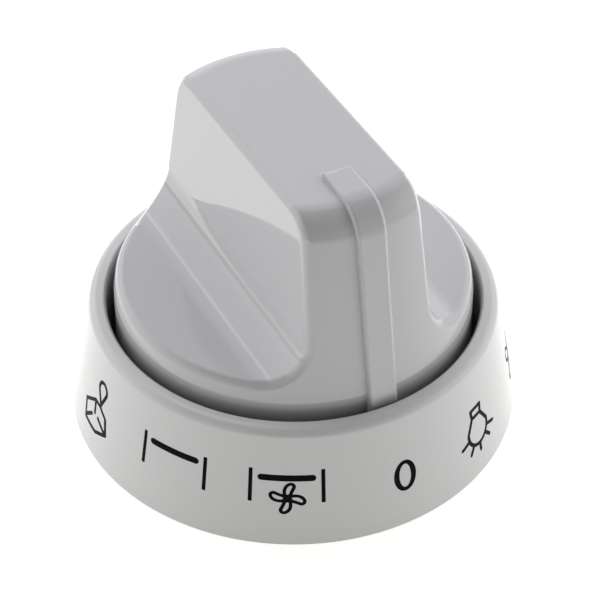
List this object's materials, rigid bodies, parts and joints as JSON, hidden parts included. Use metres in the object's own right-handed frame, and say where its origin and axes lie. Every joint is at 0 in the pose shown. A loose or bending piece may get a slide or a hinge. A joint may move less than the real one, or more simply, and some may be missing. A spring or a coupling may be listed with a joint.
{
  "type": "oven control knob",
  "caption": "White oven control knob: a finger wing with a raised pointer rib, cut from a tapered can, turning in a conical scale ring, with a sprung D-shaft socket below.",
  "frame": {"origin": "centre of the scale ring's base, on the oven's panel and on the turning axis", "axes": "+Z out of the panel along the turning axis, -Y towards the pointer at rest"},
  "size_m": [0.06, 0.06, 0.0439],
  "materials": {
    "ring_plastic": "white gloss moulding, printed in black",
    "grip_plastic": "white gloss moulding",
    "clip_steel": "rolled spring steel"
  },
  "bodies": {
    "ring": {"scale_ring": "ring_plastic"},
    "knob": {"knob_grip": "grip_plastic", "spring_clip": "clip_steel"}
  },
  "joints": [
    {"name": "knob_turn", "type": "hinge", "parent": "ring", "child": "knob", "pos_m": [0, 0, 0], "axis": [0, 0, 1], "continuous": true}
  ]
}
